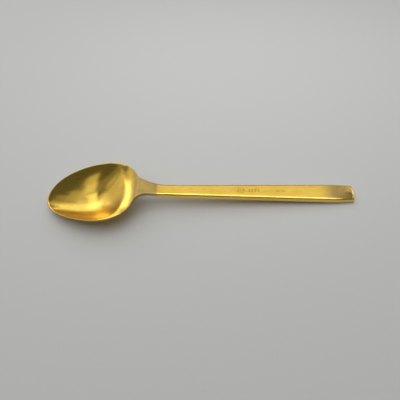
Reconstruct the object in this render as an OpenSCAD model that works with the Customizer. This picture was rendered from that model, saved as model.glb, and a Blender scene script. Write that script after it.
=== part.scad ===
// Teaspoon-sized souvenir spoon lying as it rests on a table: on the belly of its bowl and on the
// lower edge of its handle's end. It is one forging, drawn here as the four regions a maker names.
// They meet face to face and share one set of section functions.
//
// Frame: X runs along the spoon from the bowl's tip to the handle's end, Y across it, Z up.
// The origin is under the middle of the bounding box, on the table.
// Stations "s" are millimetres along the spoon from the bowl's tip.

/* [Overall] */
// Length from the bowl's tip to the corners of the handle's end
corner_s = 150; // [140:1:165]

/* [Bowl] */
// Length of the egg-shaped bowl
bowl_len = 46.7; // [42:0.1:50]
// Widest width of the bowl
bowl_w = 34; // [28:0.5:38]
// How far the widest place moves from the middle towards the handle
bowl_skew = 0.23; // [0:0.01:0.35]
// Extra fullness of both ends of the bowl
bowl_fullness = 0.07; // [0:0.01:0.15]
// Thickness of the bowl at its deepest place
bowl_wall = 1.5; // [1.1:0.1:2]
// Height of the rim's outer edge
rim_t = 1.2; // [0.8:0.1:1.5]
// Width of the flat lip around the hollow
lip_w = 0.4; // [0.3:0.1:1.5]
// How far the hollow stops short of the egg's end at the neck
neck_lip = 2.1; // [1:0.1:4]
// How much shallower the bowl gets from its middle to the neck
neck_rise = 0.49; // [0:0.01:0.6]
// Steepness of the bowl's wall at the lip, in degrees
wall_angle = 50; // [35:1:60]
// Control heights of the rim's side curve, from the tip to the neck
rim_heights = [4.6, 10.2, 8, 12.6];

/* [Handle] */
// Width at the narrowest place, just behind the neck
neck_w = 6.2; // [5:0.1:7.5]
// Width that the flare would reach at the end
end_w = 9.6; // [8:0.1:12]
// Thickness of the flat bar
bar_t = 3; // [2:0.1:4]
// Fall of the bar per millimetre of its length
bar_slope = 0.067; // [0.05:0.001:0.08]
// How far the end's edge bulges past its corners
end_bulge = 0.4; // [0.2:0.1:1]
// How much each side draws in at the end
end_pull = 0.58; // [0:0.01:1]

/* [Engraving] */
// Depth of the engraved ornament
engrave_depth = 0.15; // [0.1:0.05:0.4]

/* [Hidden] */

// Where one region ends and the next begins
neck_s = 46;
stem_s = 64;
end_s = 138;
// Start of the bowl's first section, close behind the tip
tip_s = 0.02;
total_len = corner_s + end_bulge;

// Plan outline
flare_s = 60;           // the bar's even flare starts here
shoulder_flare = 2.6;   // extra half width that the bar has at the bowl
shoulder_fade = 3.2;    // length over which that extra width dies away
shoulder_start = 3;     // the extra width stops growing this far inside the bowl
shoulder_blend = 2.1;   // size of the rounding between the egg and the bar
// Side line
bend_s = 57.5;          // the bar bends up in front of this station
bend_slope = 0.26;      // extra rise of the neck per millimetre
bend_blend = 0.5;       // size of the rounding of that bend
hump_blend = 1.25;      // size of the rounding where the rim meets the neck
// Hollow and belly
lip_blend = 0.35;       // rounding of the hollow's edge along the sides and the tip
run_out = 3.2;          // rounding of the hollow's edge at the neck
run_out_s = [33, 42];   // the rounding grows between these stations
keel_blend = 4;         // rounding where the belly runs into the neck
// The rim grows to the bar's thickness between these stations
thicken_s = [42, 64];
// The rounded back of the neck starts to show between these stations
back_s = [38, 48];

// Facets: points from the middle of a section to its edge, and sections of each swept region
half_points = 13;
bowl_sections = 56;
neck_sections = 18;
pull_steps = 6;
arc_steps = 12;

function clamp01(v) = min(max(v, 0), 1);
function ease(v) = let (c = clamp01(v)) c * c * (3 - 2 * c);
function between(span, s) = ease((s - span[0]) / (span[1] - span[0]));
function smooth_max(a, b, size) =
    let (near = max(size - abs(a - b), 0)) max(a, b) + near * near / (4 * size);
function smooth_min(a, b, size) = -smooth_max(-a, -b, size);

// Egg: half width per unit of scale, where t runs from -1 at the tip to 1 at the neck
function egg_scale(t) = exp(bowl_skew * t + bowl_fullness * t * t);
function egg_unit(t) = egg_scale(t) * sqrt(max(1 - t * t, 0));
egg_half = bowl_w / 2 / max([for (t = [-1:0.01:1]) egg_unit(t)]);
function egg_t(s) = 2 * s / bowl_len - 1;
function egg_half_w(s) = egg_half * egg_unit(egg_t(s));

// Bar: even flare, wider at the bowl's shoulder, drawn in at the end
function bar_half_w(s) =
    neck_w / 2
    + (end_w - neck_w) / 2 * clamp01((s - flare_s) / (corner_s - flare_s))
    + shoulder_flare * exp(-max(s - bowl_len, -shoulder_start) / shoulder_fade)
    - end_pull * pow(clamp01((s - end_s) / (corner_s - end_s)), 2);

function half_w(s) =
    s < bowl_len * 0.85
        ? egg_half_w(s)
        : smooth_max(egg_half_w(s), bar_half_w(s), shoulder_blend);

// Height of the rim's and the bar's top edge above the table
function bezier(h, t) =
    let (r = 1 - t)
    h[0] * r * r * r + 3 * h[1] * r * r * t + 3 * h[2] * r * t * t + h[3] * t * t * t;
function bar_top(s) =
    bar_t + bar_slope * (corner_s - s) + smooth_max(bend_slope * (bend_s - s), 0, bend_blend);
function top_z(s) = smooth_min(bezier(rim_heights, s / bowl_len), bar_top(s), hump_blend);

// Height of the outer side wall, from the thin rim to the full bar
function side_t(s) = rim_t + (bar_t - rim_t) * between(thicken_s, s);

// Round arc: 1 in the middle and 0 on the edge. Its argument is the square of the distance from the
// middle, as a share of the way to the edge.
arc_k = pow(sin(wall_angle), 2);
arc_edge = sqrt(1 - arc_k);
function arc(q) = (sqrt(max(1 - arc_k * q, 0)) - arc_edge) / (1 - arc_edge);

// Dish inside an egg that lies inset from the outline and stops gap short of its neck end
function dish(s, y, inset, gap) =
    let (
        t = 2 * (s - inset) / (bowl_len - inset - gap) - 1,
        e = (egg_half - inset) * egg_scale(t),
        c = clamp01(t)
    )
    arc(t * t + y * y / (e * e)) * (1 - neck_rise * c * c);

// The belly is as deep as makes it just touch the table
belly_depth = min([for (s = [6:0.25:40]) (top_z(s) - rim_t) / dish(s, 0, 0, 0)]);
hollow_depth = belly_depth + rim_t - bowl_wall;

function hollow(s, y) =
    smooth_max(
        hollow_depth * dish(s, y, lip_w, neck_lip), 0,
        lip_blend + (run_out - lip_blend) * between(run_out_s, s)
    );
function belly(s, y) =
    let (back = (bar_t - side_t(s)) * between(back_s, s) * (1 - pow(y / half_w(s), 2)))
    smooth_max(
        belly_depth * dish(s, y, 0, 0), back,
        lip_blend + (keel_blend - lip_blend) * between(back_s, s)
    ) * between([64, 56], s);

function along(s) = s - total_len / 2;

// One closed section at station s: over the top from -Y to +Y, then back along the underside
function section(s) =
    let (steps = [for (i = [-half_points:half_points]) sin(90 * i / half_points)], w = half_w(s))
    concat(
        [for (u = steps) [along(s), u * w, top_z(s) - hollow(s, u * w)]],
        [for (u = steps) [along(s), -u * w, top_z(s) - side_t(s) - belly(s, -u * w)]]
    );

// Skin over a row of sections. Each cap is a strip of quads from the top edge to the underside.
module sweep(stations) {
    ring = 2 * (2 * half_points + 1);
    last = (len(stations) - 1) * ring;
    polyhedron(
        points = [for (s = stations) each section(s)],
        faces = concat(
            [for (i = [0:2 * half_points - 1]) [i, i + 1, ring - 2 - i, ring - 1 - i]],
            [for (k = [0:len(stations) - 2], i = [0:ring - 1])
                let (a = k * ring + i, b = k * ring + (i + 1) % ring)
                each [[a, a + ring, b + ring], [a, b + ring, b]]],
            [for (i = [0:2 * half_points - 1])
                [last + ring - 1 - i, last + ring - 2 - i, last + i + 1, last + i]]
        )
    );
}

// Stations crowd towards the tip and towards the shoulder
function crowded(i, count, from, to) = from + (to - from) * (1 - cos(180 * i / count)) / 2;

module bowl() {
    color([0.8, 0.62, 0.25])
    sweep([for (i = [0:bowl_sections]) crowded(i, bowl_sections, tip_s, neck_s)]);
}

module neck() {
    color([0.68, 0.53, 0.24])
    sweep([for (i = [0:neck_sections]) neck_s + (stem_s - neck_s) * i / neck_sections]);
}

// Bar between two stations, cut from its side profile and its plan outline
module bar(from, to, plan) {
    tall = 40;
    intersection() {
        translate([0, 0, -1])
        linear_extrude(tall)
        polygon(plan);
        translate([0, tall / 2, 0])
        rotate([90, 0, 0])
        linear_extrude(tall)
        polygon([
            [along(from), top_z(from) - bar_t], [along(to), top_z(to) - bar_t],
            [along(to), top_z(to)], [along(from), top_z(from)]
        ]);
    }
}

module stem() {
    color([0.82, 0.66, 0.31])
    difference() {
        bar(stem_s, end_s, [
            [along(stem_s), -half_w(stem_s)], [along(end_s), -half_w(end_s)],
            [along(end_s), half_w(end_s)], [along(stem_s), half_w(stem_s)]
        ]);
        ornament();
    }
}

module handle_end() {
    sides = [for (i = [0:pull_steps]) let (s = end_s + (corner_s - end_s) * i / pull_steps)
        [along(s), half_w(s)]];
    w = half_w(corner_s);
    radius = (w * w + end_bulge * end_bulge) / (2 * end_bulge);
    sweep_angle = asin(w / radius);
    edge = [for (i = [1:arc_steps - 1]) let (a = sweep_angle * (1 - 2 * i / arc_steps))
        [along(total_len) - radius * (1 - cos(a)), radius * sin(a)]];
    color([0.62, 0.5, 0.27])
    bar(end_s, total_len, concat(
        sides, edge, [for (i = [pull_steps:-1:0]) [sides[i][0], -sides[i][1]]]
    ));
}

// Shallow cut in the middle of the stem's top face at station s, as deep as engrave_depth
module cut(s) {
    tilt = atan(bar_slope);
    translate([along(s), 0, top_z(s)])
    rotate([0, tilt, 0])
    translate([0, 0, -engrave_depth])
    linear_extrude(2)
    children();
}

module lozenge(length, width) {
    polygon([[-length / 2, 0], [0, -width / 2], [length / 2, 0], [0, width / 2]]);
}

// Plain abstract ornament: a framed lozenge, a row of strokes, a thin line and two lozenges
module ornament() {
    frame_d = 3.2;
    line_w = 0.35;
    cut(96)
    difference() {
        circle(d = frame_d, $fn = 8);
        circle(d = frame_d - 2 * line_w, $fn = 8);
    }
    cut(96) lozenge(1.3, 1.3);
    for (i = [0:3]) cut(100 + 1.5 * i) square([line_w, 1.8], center = true);
    cut(109) square([5, line_w], center = true);
    for (i = [0:1]) cut(114 + 2.6 * i) lozenge(2, 1.5);
}

bowl();
neck();
stem();
handle_end();
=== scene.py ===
"""Souvenir spoon in brushed brass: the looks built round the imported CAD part.

The spoon is one forging, shown as four pieces that stand for the four CAD nodes. One smooth surface
is made for the whole spoon and cut at the nodes' ends, so the pieces meet without a visible seam.

Plan positions are in millimetres: the station s runs along the spoon from the bowl's tip, and y
across it.
"""

import math

import bpy
import numpy as np
from mathutils import Matrix, Vector


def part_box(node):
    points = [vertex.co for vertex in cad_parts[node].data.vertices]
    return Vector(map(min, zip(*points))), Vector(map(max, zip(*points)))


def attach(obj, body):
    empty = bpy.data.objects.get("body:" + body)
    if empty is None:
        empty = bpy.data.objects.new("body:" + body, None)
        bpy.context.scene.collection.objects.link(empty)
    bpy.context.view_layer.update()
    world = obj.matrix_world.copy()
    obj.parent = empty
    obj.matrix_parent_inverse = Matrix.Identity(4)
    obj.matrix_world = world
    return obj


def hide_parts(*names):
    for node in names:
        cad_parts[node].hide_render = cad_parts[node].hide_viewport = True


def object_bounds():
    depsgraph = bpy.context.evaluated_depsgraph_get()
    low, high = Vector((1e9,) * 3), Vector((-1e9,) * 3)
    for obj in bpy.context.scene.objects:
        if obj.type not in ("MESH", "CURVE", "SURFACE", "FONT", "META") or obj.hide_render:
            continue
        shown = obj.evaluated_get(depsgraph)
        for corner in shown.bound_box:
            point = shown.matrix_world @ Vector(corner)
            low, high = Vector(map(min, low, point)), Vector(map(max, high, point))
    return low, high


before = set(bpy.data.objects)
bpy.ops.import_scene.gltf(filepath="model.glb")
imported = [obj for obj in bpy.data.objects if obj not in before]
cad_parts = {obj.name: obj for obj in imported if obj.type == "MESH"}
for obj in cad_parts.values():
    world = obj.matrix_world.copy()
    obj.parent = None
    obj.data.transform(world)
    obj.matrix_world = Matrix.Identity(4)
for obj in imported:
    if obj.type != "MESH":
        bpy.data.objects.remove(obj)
cad_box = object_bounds()

MM = 0.001

# ---------------------------------------------------------------- the spoon's shape, as in the CAD

# The values and the functions are those of part.scad, which says what nearly all of them are
CORNER_S = 150.0
BOWL_LEN = 46.7
BOWL_W = 34.0
BOWL_SKEW = 0.23
BOWL_FULLNESS = 0.07
BOWL_WALL = 1.5
RIM_T = 1.2
LIP_W = 0.4
NECK_LIP = 2.1
NECK_RISE = 0.49
WALL_ANGLE = math.radians(50)
RIM_HEIGHTS = (4.6, 10.2, 8.0, 12.6)
NECK_W = 6.2
END_W = 9.6
BAR_T = 3.0
BAR_SLOPE = 0.067
END_BULGE = 0.4
END_PULL = 0.58
FLARE_S = 60.0
SHOULDER_FLARE = 2.6
SHOULDER_FADE = 3.2
SHOULDER_START = 3.0
SHOULDER_BLEND = 2.1
# Share of the bowl's length in which the outline is the egg's alone
EGG_ONLY = 0.85
BEND_S = 57.5
BEND_SLOPE = 0.26
BEND_BLEND = 0.5
HUMP_BLEND = 1.25
LIP_BLEND = 0.35
RUN_OUT = 3.2
KEEL_BLEND = 4.0
TIP_S = 0.02
THICKEN_S = (42, 64)
RUN_OUT_S = (33, 42)
BACK_S = (38, 48)
# The belly fades out between these stations
BELLY_END_S = (64, 56)
TOTAL_LEN = CORNER_S + END_BULGE


def clamp01(v):
    return np.clip(v, 0.0, 1.0)


def between(start, stop, v):
    c = clamp01((v - start) / (stop - start))
    return c * c * (3 - 2 * c)


def smooth_max(a, b, size):
    near = np.maximum(size - np.abs(a - b), 0)
    return np.maximum(a, b) + near * near / (4 * size)


def smooth_min(a, b, size):
    return -smooth_max(-a, -b, size)


def egg_scale(t):
    return np.exp(BOWL_SKEW * t + BOWL_FULLNESS * t * t)


def egg_unit(t):
    return egg_scale(t) * np.sqrt(np.maximum(1 - t * t, 0))


EGG_HALF = BOWL_W / 2 / egg_unit(np.linspace(-1, 1, 201)).max()


def egg_half_w(s):
    return EGG_HALF * egg_unit(2 * s / BOWL_LEN - 1)


def bar_half_w(s):
    return (
        NECK_W / 2
        + (END_W - NECK_W) / 2 * clamp01((s - FLARE_S) / (CORNER_S - FLARE_S))
        + SHOULDER_FLARE * np.exp(-np.maximum(s - BOWL_LEN, -SHOULDER_START) / SHOULDER_FADE)
        - END_PULL * clamp01((s - END_S) / (CORNER_S - END_S)) ** 2
    )


def half_w(s):
    blended = smooth_max(egg_half_w(s), bar_half_w(s), SHOULDER_BLEND)
    return np.where(s < BOWL_LEN * EGG_ONLY, egg_half_w(s), blended)


def top_z(s):
    """Height of the rim's and the bar's top edge above the table."""
    t = s / BOWL_LEN
    r = 1 - t
    a, b, c, d = RIM_HEIGHTS
    rim = a * r**3 + 3 * b * r * r * t + 3 * c * r * t * t + d * t**3
    bend = smooth_max(BEND_SLOPE * (BEND_S - s), 0, BEND_BLEND)
    bar = BAR_T + BAR_SLOPE * (CORNER_S - s) + bend
    return smooth_min(rim, bar, HUMP_BLEND)


def side_t(s):
    return RIM_T + (BAR_T - RIM_T) * between(*THICKEN_S, s)


ARC_K = math.sin(WALL_ANGLE) ** 2
ARC_EDGE = math.sqrt(1 - ARC_K)


def arc(q):
    return (np.sqrt(np.maximum(1 - ARC_K * q, 0)) - ARC_EDGE) / (1 - ARC_EDGE)


def dish(s, y, inset, gap):
    """Dish inside an egg that lies inset from the outline and stops gap short of its neck end."""
    t = 2 * (s - inset) / (BOWL_LEN - inset - gap) - 1
    e = (EGG_HALF - inset) * egg_scale(t)
    c = clamp01(t)
    return arc(t * t + y * y / (e * e)) * (1 - NECK_RISE * c * c)


# The belly is as deep as makes it just touch the table
PROBE_S = np.arange(6, 40.01, 0.25)
BELLY_DEPTH = float(((top_z(PROBE_S) - RIM_T) / dish(PROBE_S, 0, 0, 0)).min())
HOLLOW_DEPTH = BELLY_DEPTH + RIM_T - BOWL_WALL


def hollow(s, y):
    blend = LIP_BLEND + (RUN_OUT - LIP_BLEND) * between(*RUN_OUT_S, s)
    return smooth_max(HOLLOW_DEPTH * dish(s, y, LIP_W, NECK_LIP), 0, blend)


def belly(s, y):
    back = (BAR_T - side_t(s)) * between(*BACK_S, s) * (1 - (y / half_w(s)) ** 2)
    blend = LIP_BLEND + (KEEL_BLEND - LIP_BLEND) * between(*BACK_S, s)
    return smooth_max(BELLY_DEPTH * dish(s, y, 0, 0), back, blend) * between(*BELLY_END_S, s)


def station(x):
    return x / MM + TOTAL_LEN / 2


# Where each node begins, from the frame
NECK_S = round(station(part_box("neck")[0][0]), 2)
STEM_S = round(station(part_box("stem")[0][0]), 2)
END_S = round(station(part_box("handle_end")[0][0]), 2)

# ---------------------------------------------------------------- engraved and stamped marks

CUT_DEPTH = 0.09
# Width of a mark's sloping wall
CUT_SOFT = 0.16

LINE_W = 0.35
FRAME_S = 96
FRAME_D = 3.2
FRAME_LOZENGE = 1.3
STROKE_S = 100
STROKE_PITCH = 1.5
STROKE_LEN = 1.8
STROKES = 4
LINE_S = 109
LINE_LEN = 5
LOZENGE_S = 114
LOZENGE_PITCH = 2.6
LOZENGE_LEN = 2
LOZENGE_W = 1.5
LOZENGES = 2

DOT_ROWS = 4
DOTS_PER_ROW = 9
FIRST_DOT = (140.4, 0.55)
DOT_PITCH = (1.02, 0.85)


def soft_cut(distance):
    """Share of the full depth, from a signed distance that is negative inside the mark."""
    return between(CUT_SOFT / 2, -CUT_SOFT / 2, distance)


def lozenge(u, v, length, width):
    scale = length * width / math.hypot(length, width) / 2
    return (np.abs(u) * 2 / length + np.abs(v) * 2 / width - 1) * scale


def box(u, v, length, width):
    return np.maximum(np.abs(u) - length / 2, np.abs(v) - width / 2)


def octagon(u, v, across):
    a, b = np.abs(u), np.abs(v)
    return np.maximum(np.maximum(a, b), (a + b) / math.sqrt(2)) - across / 2


def ornament(s, y):
    """Plain abstract ornament: a framed lozenge, a row of strokes, a thin line and two lozenges."""
    marks = [
        np.abs(octagon(s - FRAME_S, y, FRAME_D - LINE_W)) - LINE_W / 2,
        lozenge(s - FRAME_S, y, FRAME_LOZENGE, FRAME_LOZENGE),
        box(s - LINE_S, y, LINE_LEN, LINE_W),
    ]
    marks += [
        box(s - STROKE_S - STROKE_PITCH * i, y, LINE_W, STROKE_LEN) for i in range(STROKES)
    ]
    marks += [
        lozenge(s - LOZENGE_S - LOZENGE_PITCH * i, y, LOZENGE_LEN, LOZENGE_W)
        for i in range(LOZENGES)
    ]
    return soft_cut(np.min(marks, axis=0))


def stamped_patch(s, y):
    """Rows of small worn dots on the far half of the handle's end."""
    dots = np.random.default_rng(7)
    out = np.zeros_like(s)
    for row in range(DOT_ROWS):
        for i in range(DOTS_PER_ROW):
            at_s = FIRST_DOT[0] + DOT_PITCH[0] * i + dots.uniform(-0.2, 0.2)
            at_y = FIRST_DOT[1] + DOT_PITCH[1] * row + dots.uniform(-0.15, 0.15)
            wide = dots.uniform(0.18, 0.34)
            deep = dots.uniform(0.3, 0.8)
            away = np.hypot((s - at_s) * dots.uniform(0.6, 1.1), y - at_y)
            out = np.maximum(out, deep * soft_cut(away - wide))
    return out


# ---------------------------------------------------------------- the spoon's surface

# The lines across the spoon fan out before the first of these stations and after the second
TIP_FAN_S = 24.0
END_FAN_S = 140.0
# How much of a full fan the lines make. Under 1, no two of them meet on the spine.
FAN_SHARE = 0.9
TIP_LINES = 48
END_LINES = 100
# The lines are closest on the stretch with the ornament
ORNAMENT_SPAN = (93, 118)

CORNER_R = 0.5
CORNER_STEPS = 24
END_SAMPLES = 60
# Rounds of the search for the corner's centre, which settles after a few
CENTRE_ROUNDS = 20

RIM_ROUND = 0.28
BAR_ROUND = 1.3
UNDER_ROUND = 0.5
ROUND_STEPS = 7
FACE_STEPS = 32
WALL_STEPS = 2
# Least cosine between a line and the outline's normal. It limits how far a rounding reaches in.
MIN_SLANT = 0.35
# How much the points crowd towards the bowl's edge, and where that fades
CROWDING = 0.62
CROWD_END_S = (40, 58)

# Metres of metal for one unit of the brushing's UV
UV_LEN = 0.15


def plan_lines():
    """Lines across half the spoon, as outline point, spine point and outward normal in plan.

    They run straight across, and fan out round the tip and round the handle's end."""
    tip = TIP_FAN_S * (1 - np.cos(np.linspace(0, math.pi / 2, TIP_LINES + 1)))[:-1]
    # Start, stop and number of lines
    stretches = (
        (TIP_FAN_S, NECK_S, 60),
        (NECK_S, STEM_S, 45),
        (STEM_S, ORNAMENT_SPAN[0], 37),
        (*ORNAMENT_SPAN, 209),
        (ORNAMENT_SPAN[1], END_S, 29),
        (END_S, END_FAN_S, 15),
    )
    straight = [np.linspace(start, stop, lines + 1)[:-1] for start, stop, lines in stretches]
    s = np.concatenate([tip, *straight])
    outline = np.stack([np.maximum(s, TIP_S), half_w(s)], axis=1)
    outline[0, 1] = 0
    fan = FAN_SHARE * (TIP_FAN_S - s) ** 2 / (2 * TIP_FAN_S)
    spine = np.where(s < TIP_FAN_S, s + fan, s)

    end = end_outline()
    run = np.concatenate([[0], np.cumsum(np.hypot(*np.diff(end, axis=0).T))])
    even = np.linspace(0, run[-1], END_LINES + 1)
    end = np.stack([np.interp(even, run, end[:, 0]), np.interp(even, run, end[:, 1])], axis=1)
    end_spine = END_FAN_S + even - FAN_SHARE * even**2 / (2 * even[-1])

    outline = np.concatenate([outline, end])
    spine = np.concatenate([spine, end_spine])
    mirrored = np.concatenate([outline[1:2] * (1, -1), outline, outline[-2:-1] * (1, -1)])
    along = mirrored[2:] - mirrored[:-2]
    normal = np.stack([-along[:, 1], along[:, 0]], axis=1)
    normal /= np.linalg.norm(normal, axis=1, keepdims=True)
    return outline, np.stack([spine, np.zeros_like(spine)], axis=1), normal


def end_outline():
    """The last stretch of the side, the rounded corner and half of the end's bulged edge."""
    corner_w = float(half_w(np.array(CORNER_S)))

    def edge_s(y):
        return TOTAL_LEN - END_BULGE * (y / corner_w) ** 2

    def side_normal(s):
        step = 0.01
        rise = float(half_w(np.array(s + step)) - half_w(np.array(s - step)))
        slope = rise / (2 * step)
        return np.array([-slope, 1]) / math.hypot(slope, 1)

    def edge_normal(y):
        slope = -2 * END_BULGE * y / corner_w**2
        return np.array([1, -slope]) / math.hypot(slope, 1)

    centre = np.array([CORNER_S - CORNER_R, corner_w - CORNER_R])
    side = edge = centre
    for _ in range(CENTRE_ROUNDS):
        side = centre + CORNER_R * side_normal(centre[0])
        edge = centre + CORNER_R * edge_normal(centre[1])
        centre = np.array([
            centre[0] + edge_s(edge[1]) - edge[0],
            centre[1] + float(half_w(np.array(side[0]))) - side[1],
        ])
    from_angle = math.atan2(side[1] - centre[1], side[0] - centre[0])
    to_angle = math.atan2(edge[1] - centre[1], edge[0] - centre[0])
    angles = np.linspace(from_angle, to_angle, CORNER_STEPS + 1)[1:-1]
    s = np.linspace(END_FAN_S, side[0], END_SAMPLES)
    y = np.linspace(edge[1], 0, END_SAMPLES)
    return np.concatenate([
        np.stack([s, half_w(s)], axis=1),
        centre + CORNER_R * np.stack([np.cos(angles), np.sin(angles)], axis=1),
        np.stack([edge_s(y), y], axis=1),
    ])


def half_surface():
    """Points of the +Y half, a row for each line, from the top's spine to the underside's.

    Returns the points in millimetres and, for each, its share of an edge's rounding, of the
    ornament's depth and of the stamped patch's depth."""
    outline, spine, normal = plan_lines()
    inward = spine - outline
    length = np.linalg.norm(inward, axis=1)
    inward /= length[:, None]
    slant = np.maximum(-(normal * inward).sum(axis=1), MIN_SLANT)
    s_edge = outline[:, 0]
    top_r = RIM_ROUND + (BAR_ROUND - RIM_ROUND) * between(*THICKEN_S, s_edge)
    under_r = np.full_like(s_edge, UNDER_ROUND)
    crowding = CROWDING * (1 - between(*CROWD_END_S, s_edge))[:, None]

    def face_offsets(radius):
        """Distance from the outline along each line, and depth below the unrounded face."""
        turn = np.linspace(0, math.pi / 2, ROUND_STEPS + 1)
        inset = radius[:, None] * (1 - np.sin(turn)) / slant[:, None]
        drop = radius[:, None] * (1 - np.cos(turn))
        x = np.linspace(0, 1, FACE_STEPS + 1)[1:]
        share = x * (1 - crowding) + x * x * crowding
        first = (radius / slant)[:, None]
        face = first + (length[:, None] - first) * share
        offset = np.concatenate([inset[:, ::-1], face], axis=1)
        depth = np.concatenate([drop[:, ::-1], np.zeros_like(face)], axis=1)
        return offset, depth

    def plan_of(offset):
        return outline[:, None, :] + inward[:, None, :] * offset[:, :, None]

    offset, depth = face_offsets(top_r)
    plan = plan_of(offset)
    s, y = plan[..., 0], plan[..., 1]
    marks = ornament(s, y)
    patch = stamped_patch(s, y)
    z = top_z(s) - hollow(s, y) - depth - CUT_DEPTH * marks
    top = np.stack([s, y, z], axis=2)[:, ::-1]
    top_marks = marks[:, ::-1]
    top_patch = patch[:, ::-1]
    top_edge = (depth / top_r[:, None])[:, ::-1]

    offset, depth = face_offsets(under_r)
    plan = plan_of(offset)
    s, y = plan[..., 0], plan[..., 1]
    z = top_z(s) - side_t(s) - belly(s, y) + depth
    under = np.stack([s, y, z], axis=2)

    share = (np.arange(1, WALL_STEPS) / WALL_STEPS)[None, :, None]
    wall = top[:, -1:] * (1 - share) + under[:, :1] * share
    points = np.concatenate([top, wall, under], axis=1)
    edge = np.concatenate([top_edge, np.ones_like(wall[..., 0]), depth / UNDER_ROUND], axis=1)
    blank = np.zeros_like(edge[:, top_marks.shape[1] :])
    return (
        points,
        edge,
        np.concatenate([top_marks, blank], axis=1),
        np.concatenate([top_patch, blank], axis=1),
    )


def whole_surface():
    """All points, each side's grid of point numbers, and the values that the material reads."""
    points, edge, marks, patch = half_surface()
    rows, columns = edge.shape
    last = columns - 1
    # The patch is only on the far side
    far = points.copy()
    far[..., 2] -= CUT_DEPTH * patch
    near = points[:, 1:last] * (1, -1, 1)
    xyz = np.concatenate([far, near], axis=1).reshape(-1, 3)
    xyz[:, 0] -= TOTAL_LEN / 2
    # The CAD's facets cut the widest places short by less than a micrometre
    xyz = np.clip(xyz, np.array(cad_box[0]) / MM, np.array(cad_box[1]) / MM)
    per_row = columns + last - 1
    grid_far = np.arange(rows)[:, None] * per_row + np.arange(columns)
    grid_near = grid_far.copy()
    grid_near[:, 1:last] = np.arange(rows)[:, None] * per_row + columns + np.arange(last - 1)
    # At the tip and at the end's middle the two halves of a line are one
    grid_near[0] = grid_far[0]
    grid_near[-1] = grid_far[-1]

    def both(values_far, values_near):
        return np.concatenate([values_far, values_near[:, 1:last]], axis=1).reshape(-1)

    step = np.linalg.norm(np.diff(points, axis=1), axis=2)
    around = np.concatenate([np.zeros((rows, 1)), np.cumsum(step, axis=1)], axis=1)
    return {
        "xyz": xyz * MM,
        "far": grid_far,
        "near": grid_near,
        "edge": both(edge, edge),
        "cut": both(np.maximum(marks, patch), marks),
        "around": around * MM,
        "row_s": points[:, 0, 0],
    }


def quads(grid, flip):
    """The four corners' values of each face in a grid.

    Where the first and the last line meet the spine, the face starts from its next corner. Its
    diagonal then isn't one that the other half of the spoon has too."""
    a, b = grid[:-1, :-1], grid[1:, :-1]
    c, d = grid[1:, 1:], grid[:-1, 1:]
    corners = np.stack((a, d, c, b) if flip else (a, b, c, d), axis=2)
    for face in ((0, -1), (-1, 0)):
        corners[face] = np.roll(corners[face], -1)
    return corners.reshape(-1, 4)


def smooth_normals(surface):
    """One normal for each point of the whole spoon, so that the pieces agree where they meet."""
    xyz = surface["xyz"]
    faces = np.concatenate([quads(surface["far"], False), quads(surface["near"], True)])
    p = xyz[faces]
    facing = np.cross(p[:, 2] - p[:, 0], p[:, 3] - p[:, 1])
    total = np.zeros_like(xyz)
    for corner in range(4):
        np.add.at(total, faces[:, corner], facing)
    size = np.linalg.norm(total, axis=1, keepdims=True)
    return total / np.maximum(size, 1e-20)


def cap(far_row, near_row, backwards):
    """Faces that close a piece where it meets the next: upright strips, and one face a side."""
    last = len(far_row) - 1
    strips = FACE_STEPS + ROUND_STEPS - 1
    faces = []
    for row, flip in ((far_row, not backwards), (near_row, backwards)):
        half = [
            [row[j], row[j + 1], row[last - j - 1], row[last - j]] for j in range(strips)
        ]
        half.append([row[j] for j in range(strips, last - strips + 1)])
        faces += [corners[::-1] if flip else corners for corners in half]
    return faces


def build_piece(name, surface, normals, first, last):
    """The closed piece between two lines of the surface."""
    far = surface["far"][first : last + 1]
    near = surface["near"][first : last + 1]
    skin = np.concatenate([quads(far, False), quads(near, True)])
    around = surface["around"][first : last + 1]
    skin_v = np.concatenate([quads(around, False), -quads(around, True)]).reshape(-1)
    caps = []
    if first > 0:
        caps += cap(far[0], near[0], True)
    if last < len(surface["far"]) - 1:
        caps += cap(far[-1], near[-1], False)
    faces = skin.tolist() + [[int(i) for i in corners] for corners in caps]
    used = np.unique(skin)
    new_index = np.full(len(surface["xyz"]), -1)
    new_index[used] = np.arange(len(used))
    faces = [[int(new_index[i]) for i in corners] for corners in faces]

    mesh = bpy.data.meshes.new(name)
    mesh.from_pydata(surface["xyz"][used].tolist(), [], faces)
    flat = [False] * len(skin) + [True] * len(caps)
    mesh.attributes.new("sharp_face", "BOOLEAN", "FACE").data.foreach_set("value", flat)
    for key in ("edge", "cut"):
        attribute = mesh.attributes.new(key, "FLOAT", "POINT")
        attribute.data.foreach_set("value", surface[key][used])

    corner_vertex = np.empty(len(mesh.loops), dtype=np.int32)
    mesh.loops.foreach_get("vertex_index", corner_vertex)
    corner_normal = normals[used][corner_vertex]
    skin_corners = len(skin) * 4
    for polygon in list(mesh.polygons)[len(skin) :]:
        for corner in polygon.loop_indices:
            corner_normal[corner] = polygon.normal
    mesh.normals_split_custom_set(corner_normal.tolist())

    layer = mesh.uv_layers.new(name="Brushing")
    uv = np.zeros((len(mesh.loops), 2))
    uv[:, 0] = surface["xyz"][used][corner_vertex, 0]
    uv[:skin_corners, 1] = skin_v
    uv[skin_corners:, 1] = surface["xyz"][used][corner_vertex[skin_corners:], 1]
    layer.data.foreach_set("uv", uv.reshape(-1) / UV_LEN)

    piece = bpy.data.objects.new(name, mesh)
    bpy.context.scene.collection.objects.link(piece)
    return piece


# ---------------------------------------------------------------- material


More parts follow.
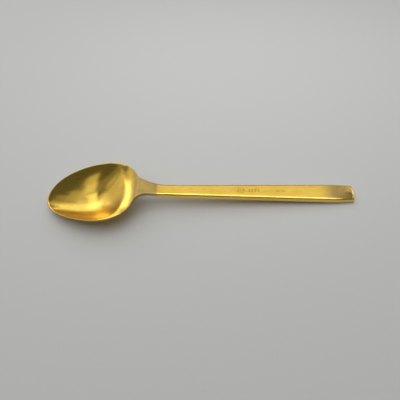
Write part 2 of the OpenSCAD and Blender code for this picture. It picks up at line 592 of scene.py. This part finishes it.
class Nodes:
    """Short calls for building a node tree."""

    def __init__(self, tree):
        self.tree = tree

    def add(self, kind, **settings):
        node = self.tree.nodes.new(kind)
        for key, value in settings.items():
            setattr(node, key, value)
        return node

    def join(self, source, target):
        self.tree.links.new(source, target)

    def feed(self, socket, value):
        if isinstance(value, bpy.types.NodeSocket):
            self.join(value, socket)
        else:
            socket.default_value = value

    def math(self, operation, a, b=0.0, clamp=False):
        node = self.add("ShaderNodeMath", operation=operation, use_clamp=clamp)
        self.feed(node.inputs[0], a)
        self.feed(node.inputs[1], b)
        return node.outputs[0]

    def range(self, value, from_min, from_max, to_min=0.0, to_max=1.0):
        node = self.add("ShaderNodeMapRange", interpolation_type="SMOOTHSTEP")
        self.feed(node.inputs["Value"], value)
        node.inputs["From Min"].default_value = from_min
        node.inputs["From Max"].default_value = from_max
        node.inputs["To Min"].default_value = to_min
        node.inputs["To Max"].default_value = to_max
        return node.outputs["Result"]

    def noise(self, coordinate, scales, detail=2.0, rough=0.5):
        """Noise whose grain has its own size along each axis: scales are grains per metre."""
        mapping = self.add("ShaderNodeMapping")
        self.join(coordinate, mapping.inputs["Vector"])
        mapping.inputs["Scale"].default_value = scales
        noise = self.add("ShaderNodeTexNoise")
        self.join(mapping.outputs["Vector"], noise.inputs["Vector"])
        noise.inputs["Scale"].default_value = 1.0
        noise.inputs["Detail"].default_value = detail
        noise.inputs["Roughness"].default_value = rough
        return noise.outputs["Fac"]

    def mix(self, factor, a, b, blend="MIX"):
        node = self.add("ShaderNodeMix", data_type="RGBA", blend_type=blend)
        self.feed(node.inputs["Factor"], factor)
        self.feed(node.inputs["A"], a)
        self.feed(node.inputs["B"], b)
        return node.outputs["Result"]

    def attribute(self, name):
        return self.add("ShaderNodeAttribute", attribute_name=name).outputs["Fac"]


GOLD = (0.90, 0.60, 0.115, 1)
DEEP_GOLD = (0.84, 0.53, 0.08, 1)
# Tarnish at the end and in specks, and painted shade at the neck
TARNISH_AND_SHADE = (0.42, 0.30, 0.13, 1)
# Painted shade on the bowl's rim and side wall
RIM_SHADE = (0.36, 0.30, 0.18, 1)
CUT_DARK = (0.20, 0.13, 0.05, 1)
# Paler brass on the bar's worn edges, which also serves as a painted highlight there
WORN_AND_HIGHLIGHT = (0.95, 0.76, 0.36, 1)
# Grains per metre along X, Y and Z. The brushing runs along the spoon, so it has few along X.
FINE_BRUSHING = (110, 5200, 5200)
BROAD_BRUSHING = (30, 1500, 1500)
CLOUDS = (90, 130, 130)
SPECKS = (900, 1100, 1100)
RIPPLES = (1700, 130, 130)
# The bowl is polished brighter and less lengthwise than the bar
BOWL_ROUGHNESS = -0.15
EDGE_ROUGHNESS = -0.15
RIM_ROUGHNESS = 0.2
DULL_ROUGHNESS = 0.12
NECK_ROUGHNESS = 0.12
CUT_ROUGHNESS = 0.15
BUMP_STRENGTH = 0.25
BUMP_HEIGHT = 0.00002
ANISOTROPY = {"bowl": 0.5, "neck": 0.5, "stem": 1.0, "handle_end": 1.0}
SLOTS = {
    "bowl": "bowl_metal",
    "neck": "neck_metal",
    "stem": "stem_metal",
    "handle_end": "end_metal",
}


def brushed_brass(name, anisotropy):
    """Aged brass: brushed, cloudy, rougher at the neck and the end, tarnished at the end, worn
    along the bar's edges. Painted shade darkens the neck and the rim; the edges carry a painted
    highlight.
    """
    material = bpy.data.materials.new(name)
    material.use_nodes = True
    tree = material.node_tree
    tree.nodes.clear()
    n = Nodes(tree)
    output = n.add("ShaderNodeOutputMaterial")
    shader = n.add("ShaderNodeBsdfPrincipled")
    n.join(shader.outputs["BSDF"], output.inputs["Surface"])
    place = n.add("ShaderNodeTexCoord").outputs["Object"]
    parts = n.add("ShaderNodeSeparateXYZ")
    n.join(place, parts.inputs["Vector"])
    along = parts.outputs["X"]

    edge = n.attribute("edge")
    cut = n.attribute("cut")
    fine = n.noise(place, FINE_BRUSHING, 3.0, 0.6)
    broad = n.noise(place, BROAD_BRUSHING, 2.0, 0.5)
    cloud = n.noise(place, CLOUDS, 4.0, 0.6)
    speck = n.noise(place, SPECKS, 2.0, 0.5)

    # Where the bowl's finish gives way to the bar's; masks for roughness, painted shade and
    # highlight
    neck_x = (NECK_S - TOTAL_LEN / 2) * MM
    end_x = (END_S - TOTAL_LEN / 2) * MM
    bar_share = n.range(along, neck_x + 2 * MM, neck_x + 11 * MM)
    bowl_share = n.math("SUBTRACT", 1.0, bar_share)
    glossy_edge = n.math("MULTIPLY", n.range(edge, 0.01, 0.12), bar_share)
    # Worn edges on the bar, made paler as a painted highlight
    worn_edge_and_highlight = n.math("MULTIPLY", edge, bar_share)
    # The bowl's rim and side wall: painted shade, and a rougher finish
    rim_shade_and_dull = n.math("MULTIPLY", edge, bowl_share)
    # The neck: painted shade where the bowl's reflections fade, and a rougher finish
    neck_shade_and_dull = n.math(
        "MULTIPLY",
        n.range(along, neck_x - 4 * MM, neck_x + 1 * MM),
        n.range(along, neck_x + 10.5 * MM, neck_x + 9 * MM),
    )
    dull_end = n.range(along, end_x - 5 * MM, end_x + 4 * MM)
    dull_end = n.math("MULTIPLY", dull_end, n.math("SUBTRACT", 1.0, glossy_edge))
    tarnish_and_neck_shade = n.math("MAXIMUM", neck_shade_and_dull, dull_end)
    tarnish_and_neck_shade = n.math("MULTIPLY", tarnish_and_neck_shade, n.range(cloud, 0.35, 0.7, 0.65, 1.0))

    colour = n.mix(n.range(cloud, 0.3, 0.7), GOLD, DEEP_GOLD)
    # Painted shade at the neck, and tarnish at the end
    colour = n.mix(n.math("MULTIPLY", tarnish_and_neck_shade, 0.95), colour, TARNISH_AND_SHADE)
    streak = n.math("ADD", n.math("MULTIPLY", fine, 0.5), n.math("MULTIPLY", broad, 0.5))
    shade = n.range(streak, 0.35, 0.65, 0.90, 1.04)
    shade_colour = n.add("ShaderNodeCombineColor")
    for channel in ("Red", "Green", "Blue"):
        n.join(shade, shade_colour.inputs[channel])
    colour = n.mix(1.0, colour, shade_colour.outputs["Color"], "MULTIPLY")
    spots = n.math("MULTIPLY", n.range(speck, 0.66, 0.74), 0.35)
    colour = n.mix(spots, colour, TARNISH_AND_SHADE)
    colour = n.mix(n.math("MULTIPLY", cut, 0.2), colour, CUT_DARK)
    # Painted highlight on the bar's worn edges
    colour = n.mix(n.math("MULTIPLY", worn_edge_and_highlight, 0.35), colour, WORN_AND_HIGHLIGHT)
    # Painted shade on the bowl's rim
    colour = n.mix(n.math("MULTIPLY", rim_shade_and_dull, 0.8), colour, RIM_SHADE)
    n.join(colour, shader.inputs["Base Color"])

    rough = n.range(streak, 0.3, 0.7, 0.29, 0.37)
    for share, change in (
        (bowl_share, BOWL_ROUGHNESS),
        (glossy_edge, EDGE_ROUGHNESS),
        (rim_shade_and_dull, RIM_ROUGHNESS),
        (tarnish_and_neck_shade, DULL_ROUGHNESS),
        (neck_shade_and_dull, NECK_ROUGHNESS),
    ):
        rough = n.math("ADD", rough, n.math("MULTIPLY", share, change))
    rough = n.math("ADD", rough, n.math("MULTIPLY", cut, CUT_ROUGHNESS), clamp=True)
    n.join(rough, shader.inputs["Roughness"])

    ripple = n.noise(place, RIPPLES, 2.0, 0.5)
    ripple = n.math("MULTIPLY", n.math("MULTIPLY", ripple, bowl_share), 0.35)
    height = n.math("ADD", fine, n.math("MULTIPLY", broad, 0.6))
    height = n.math("ADD", height, ripple)
    bump = n.add("ShaderNodeBump")
    bump.inputs["Strength"].default_value = BUMP_STRENGTH
    bump.inputs["Distance"].default_value = BUMP_HEIGHT
    n.join(height, bump.inputs["Height"])
    n.join(bump.outputs["Normal"], shader.inputs["Normal"])

    tangent = n.add("ShaderNodeTangent", direction_type="UV_MAP", uv_map="Brushing")
    n.join(tangent.outputs["Tangent"], shader.inputs["Tangent"])
    shader.inputs["Metallic"].default_value = 1.0
    shader.inputs["Anisotropic"].default_value = anisotropy
    # A quarter turn: the gloss spreads across the brushing
    shader.inputs["Anisotropic Rotation"].default_value = 0.25
    return material


# ---------------------------------------------------------------- the pieces

surface = whole_surface()
normals = smooth_normals(surface)
row_s = surface["row_s"]
inner_cuts = [int(np.abs(row_s - s).argmin()) for s in (NECK_S, STEM_S, END_S)]
cuts = [0, *inner_cuts, len(row_s) - 1]
bowl_pieces = []
bar_pieces = []
for node, first, last in zip(SLOTS, cuts, cuts[1:]):
    piece = build_piece(f"{node}_brass", surface, normals, first, last)
    piece.data.materials.append(brushed_brass(f"{node}_brushed_brass", ANISOTROPY[node]))
    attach(piece, "root")
    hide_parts(node)
    if node in ("bowl", "neck"):
        bowl_pieces.append(piece)
    if node != "bowl":
        bar_pieces.append(piece)

# ---------------------------------------------------------------- stage, lights and camera

FLOOR_HALF = 2.0
# The floor lies just below the CAD box
FLOOR_Z = -0.00004
PAPER = (0.76, 0.76, 0.75, 1)
PALE_PAPER = (0.80, 0.80, 0.79, 1)
PAPER_GRAIN = (900, 900, 900)
ROOM = (0.11, 0.115, 0.11, 1)


def floor_material():
    material = bpy.data.materials.new("floor_paper")
    material.use_nodes = True
    n = Nodes(material.node_tree)
    shader = material.node_tree.nodes["Principled BSDF"]
    place = n.add("ShaderNodeTexCoord").outputs["Object"]
    grain = n.noise(place, PAPER_GRAIN, 3.0, 0.6)
    colour = n.mix(grain, PAPER, PALE_PAPER)
    n.join(colour, shader.inputs["Base Color"])
    shader.inputs["Roughness"].default_value = 0.85
    return material


def make_floor():
    mesh = bpy.data.meshes.new("floor")
    signs = ((-1, -1), (1, -1), (1, 1), (-1, 1))
    corners = [(x * FLOOR_HALF, y * FLOOR_HALF, FLOOR_Z) for x, y in signs]
    mesh.from_pydata(corners, [], [(0, 1, 2, 3)])
    floor = bpy.data.objects.new("floor", mesh)
    bpy.context.scene.collection.objects.link(floor)
    mesh.materials.append(floor_material())
    return floor


def softbox(name, aim, direction, distance, width, height, radiance):
    """A rectangular light that shines at aim. Its width runs along X.

    Its direction is its share along X, and the angle in degrees round X from the far horizon."""
    share, around = direction
    across = math.sqrt(1 - share * share)
    turn = math.radians(around)
    away = Vector((share, across * math.cos(turn), across * math.sin(turn)))
    wide = (Vector((1, 0, 0)) - away * away.x).normalized()
    tall = away.cross(wide)
    light = bpy.data.lights.new(name, "AREA")
    light.shape = "RECTANGLE"
    light.size = width
    light.size_y = height
    light.energy = radiance * math.pi * width * height
    lamp = bpy.data.objects.new(name, light)
    place = Vector(aim) + away * distance
    lamp.matrix_world = Matrix((
        (wide.x, tall.x, away.x, place.x),
        (wide.y, tall.y, away.y, place.y),
        (wide.z, tall.z, away.z, place.z),
        (0, 0, 0, 1),
    ))
    lamp.visible_camera = False
    bpy.context.scene.collection.objects.link(lamp)
    return lamp


def shine_only_on(lamp, objects):
    """Keep a lamp's light off everything but the given objects, like a studio flag."""
    lit = bpy.data.collections.new(f"{lamp.name}_lit")
    for item in objects:
        lit.objects.link(item)
    lamp.light_linking.receiver_collection = lit


def make_world():
    world = bpy.data.worlds.new("studio")
    bpy.context.scene.world = world
    world.use_nodes = True
    background = world.node_tree.nodes["Background"]
    background.inputs["Color"].default_value = ROOM
    background.inputs["Strength"].default_value = 1.0


def make_camera():
    camera = bpy.data.cameras.new("camera")
    camera.lens = 36.0
    camera.sensor_width = 36.0
    camera.clip_start = 0.005
    place = Vector((0.011391, -0.111045, 0.164940))
    forward = Vector((-0.05416, 0.55552, -0.82974)).normalized()
    # Square to the line of sight, with a little roll
    right = Vector((0.99826, 0.01085, -0.05790))
    right = (right - forward * right.dot(forward)).normalized()
    up = right.cross(forward)
    holder = bpy.data.objects.new("camera", camera)
    holder.matrix_world = Matrix((
        (right.x, up.x, -forward.x, place.x),
        (right.y, up.y, -forward.y, place.y),
        (right.z, up.z, -forward.z, place.z),
        (0, 0, 0, 1),
    ))
    bpy.context.scene.collection.objects.link(holder)
    bpy.context.scene.camera = holder


BOWL_AIM = (-0.055, 0, 0.005)
NECK_AIM = (-0.0338, -0.0066, 0.0103)
BAR_AIM = (0.08, 0, 0.006)
# Distances from the aim to a light
OVERHEAD = 1.2
FAR = 0.4
PANEL = 0.2
NEAR = 0.057

floor = make_floor()
make_world()
make_camera()
# Lights for the bar: a broad panel for its flat top, a bright one overhead for its rounded near
# edge, and one beyond its end
bar_panel = softbox("bar_panel", BAR_AIM, (-0.06, 54), PANEL, 0.27, 0.17, 0.72)
edge_strip = softbox("edge_strip", BAR_AIM, (0.04, 105), FAR, 0.30, 0.26, 3.0)
end_panel = softbox("end_panel", BAR_AIM, (0.75, 32), FAR, 0.16, 0.18, 3.2)
shine_only_on(bar_panel, bar_pieces + [floor])
shine_only_on(edge_strip, bar_pieces)
shine_only_on(end_panel, bar_pieces)
# Lights for the bowl: name, direction, width, height and radiance. The bowl mirrors them as bands.
BOWL_LIGHTS = [
    ("tip_dim", (0.0, 61), 0.08, 0.21, 0.2),
    ("tip_middle", (-0.17, 70), 0.06, 0.29, 0.36),
    ("tip_bright", (-0.31, 60), 0.055, 0.21, 0.56),
    ("first_band", (-0.46, 47), 0.068, 0.33, 1.45),
    ("first_band_middle", (-0.36, 88), 0.085, 0.17, 0.78),
    ("first_band_top", (-0.31, 111), 0.085, 0.15, 0.6),
    ("between_bands", (-0.64, 42), 0.084, 0.20, 0.56),
    ("beyond_bands", (-0.82, 42), 0.14, 0.136, 0.52),
    ("beyond_bands_top", (-0.82, 70), 0.14, 0.096, 0.34),
    ("neck_side_top", (-0.68, 86), 0.20, 0.16, 0.15),
    ("tip_dim_low", (0.0, 34), 0.08, 0.175, 0.32),
    ("tip_middle_low", (-0.17, 35), 0.06, 0.17, 0.55),
    ("tip_bright_low", (-0.31, 35), 0.055, 0.166, 0.6),
    ("far_low_panel", (-0.36, 11), 0.21, 0.165, 1.0),
    ("far_horizon", (-0.30, 5), 0.16, 0.053, 0.9),
    ("second_band_dim", (-0.76, 13), 0.105, 0.118, 0.5),
    ("far_low_side", (-0.655, 12), 0.058, 0.127, 0.6),
]
# Lights below this angle would leave bright spots on the floor beside them
LOW_ANGLE = 20
for name, direction, width, height, radiance in BOWL_LIGHTS:
    lamp = softbox(name, BOWL_AIM, direction, FAR, width, height, radiance)
    if direction[1] < LOW_ANGLE:
        shine_only_on(lamp, bowl_pieces)
# Two small ones close to the neck, for the band at the neck and its bright middle
second_band = softbox("second_band", NECK_AIM, (-0.725, 18), NEAR, 0.013, 0.016, 0.4)
second_core = softbox("second_core", NECK_AIM, (-0.72, 18.7), NEAR, 0.006, 0.006, 2.2)
shine_only_on(second_band, bowl_pieces)
shine_only_on(second_core, bowl_pieces)
# A high light for the floor alone keeps it pale
floor_light = softbox("floor_light", BAR_AIM, (0.0, 90), OVERHEAD, 1.0, 1.0, 1.5)
shine_only_on(floor_light, [floor])

bpy.context.scene.view_settings.view_transform = "Standard"
bpy.context.scene.view_settings.look = "None"
